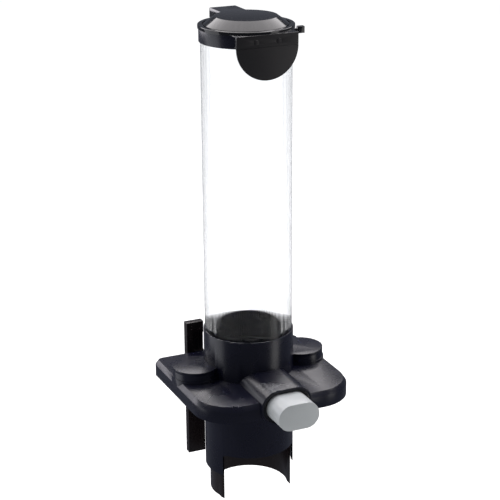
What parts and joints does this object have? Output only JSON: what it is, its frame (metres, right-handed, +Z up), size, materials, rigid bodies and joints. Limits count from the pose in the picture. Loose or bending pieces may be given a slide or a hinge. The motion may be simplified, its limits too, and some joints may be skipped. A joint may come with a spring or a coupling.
{
  "type": "wall cup dispenser",
  "caption": "Wall-mounted dispenser: a clear tube holds a stack of disposable cups, and a front push button turns two cams that drop one cup from the guide below.",
  "frame": {"origin": "in the wall plane, at the back faces of the two wall rails, midway between the four screw holes", "axes": "+Z up along the cup tube, -Y out of the wall towards the user, +X to the user's right"},
  "size_m": [0.148, 0.17, 0.4483],
  "materials": {
    "housing_plastic": "gloss",
    "lid_plastic": "gloss",
    "guide_plastic": "satin",
    "clear_tube": "clear",
    "button_plastic": "satin",
    "gear_plastic": "satin",
    "soft_ring": "matte",
    "steel": "bright",
    "brass": "satin"
  },
  "bodies": {
    "housing": {"upper_housing": "housing_plastic", "lower_housing": "housing_plastic", "cup_guide": "guide_plastic", "left_cam_cover": "housing_plastic", "right_cam_cover": "housing_plastic", "storage_tube": "clear_tube", "tube_gasket": "soft_ring", "top_collar": "lid_plastic", "collar_clamp_screw": "lid_plastic", "lid_hinge_pin": "steel", "left_wall_rail": "guide_plastic", "right_wall_rail": "guide_plastic", "rail_screws": "steel", "housing_screws": "steel", "button_bezel": "lid_plastic", "spring_rods": "steel", "left_cam_axle": "steel", "right_cam_axle": "steel", "left_return_spring": "steel", "right_return_spring": "steel"},
    "lid": {"lid": "lid_plastic", "front_flap": "lid_plastic", "flap_rivets": "lid_plastic"},
    "button": {"push_button": "button_plastic", "rack_yoke": "gear_plastic", "button_screws": "steel"},
    "left_cam": {"left_cam": "gear_plastic", "left_cam_gear": "gear_plastic", "left_cam_bush": "brass"},
    "right_cam": {"right_cam": "gear_plastic", "right_cam_gear": "gear_plastic", "right_cam_bush": "brass"}
  },
  "joints": [
    {"name": "lid_hinge", "type": "hinge", "parent": "housing", "child": "lid", "pos_m": [0, -0.0135, 0.3575], "axis": [-1, 0, 0], "range_deg": [0, 110]},
    {"name": "button_push", "type": "slide", "parent": "housing", "child": "button", "axis": [0, 1, 0], "range_m": [0, 0.015], "stiffness_N_per_m": 300, "springref_m": -0.012, "deforming": ["left_return_spring", "right_return_spring"]},
    {"name": "left_cam_spin", "type": "hinge", "parent": "housing", "child": "left_cam", "pos_m": [-0.0532, -0.062, 0.0335], "axis": [0, 0, 1], "range_deg": [0, 125]},
    {"name": "right_cam_spin", "type": "hinge", "parent": "housing", "child": "right_cam", "pos_m": [0.0532, -0.062, 0.0335], "axis": [0, 0, 1], "range_deg": [-125, 0]}
  ],
  "couplings": [
    {"joint": "left_cam_spin", "follows": "button_push", "rad_per_m": 142.86},
    {"joint": "right_cam_spin", "follows": "button_push", "rad_per_m": -142.86}
  ]
}
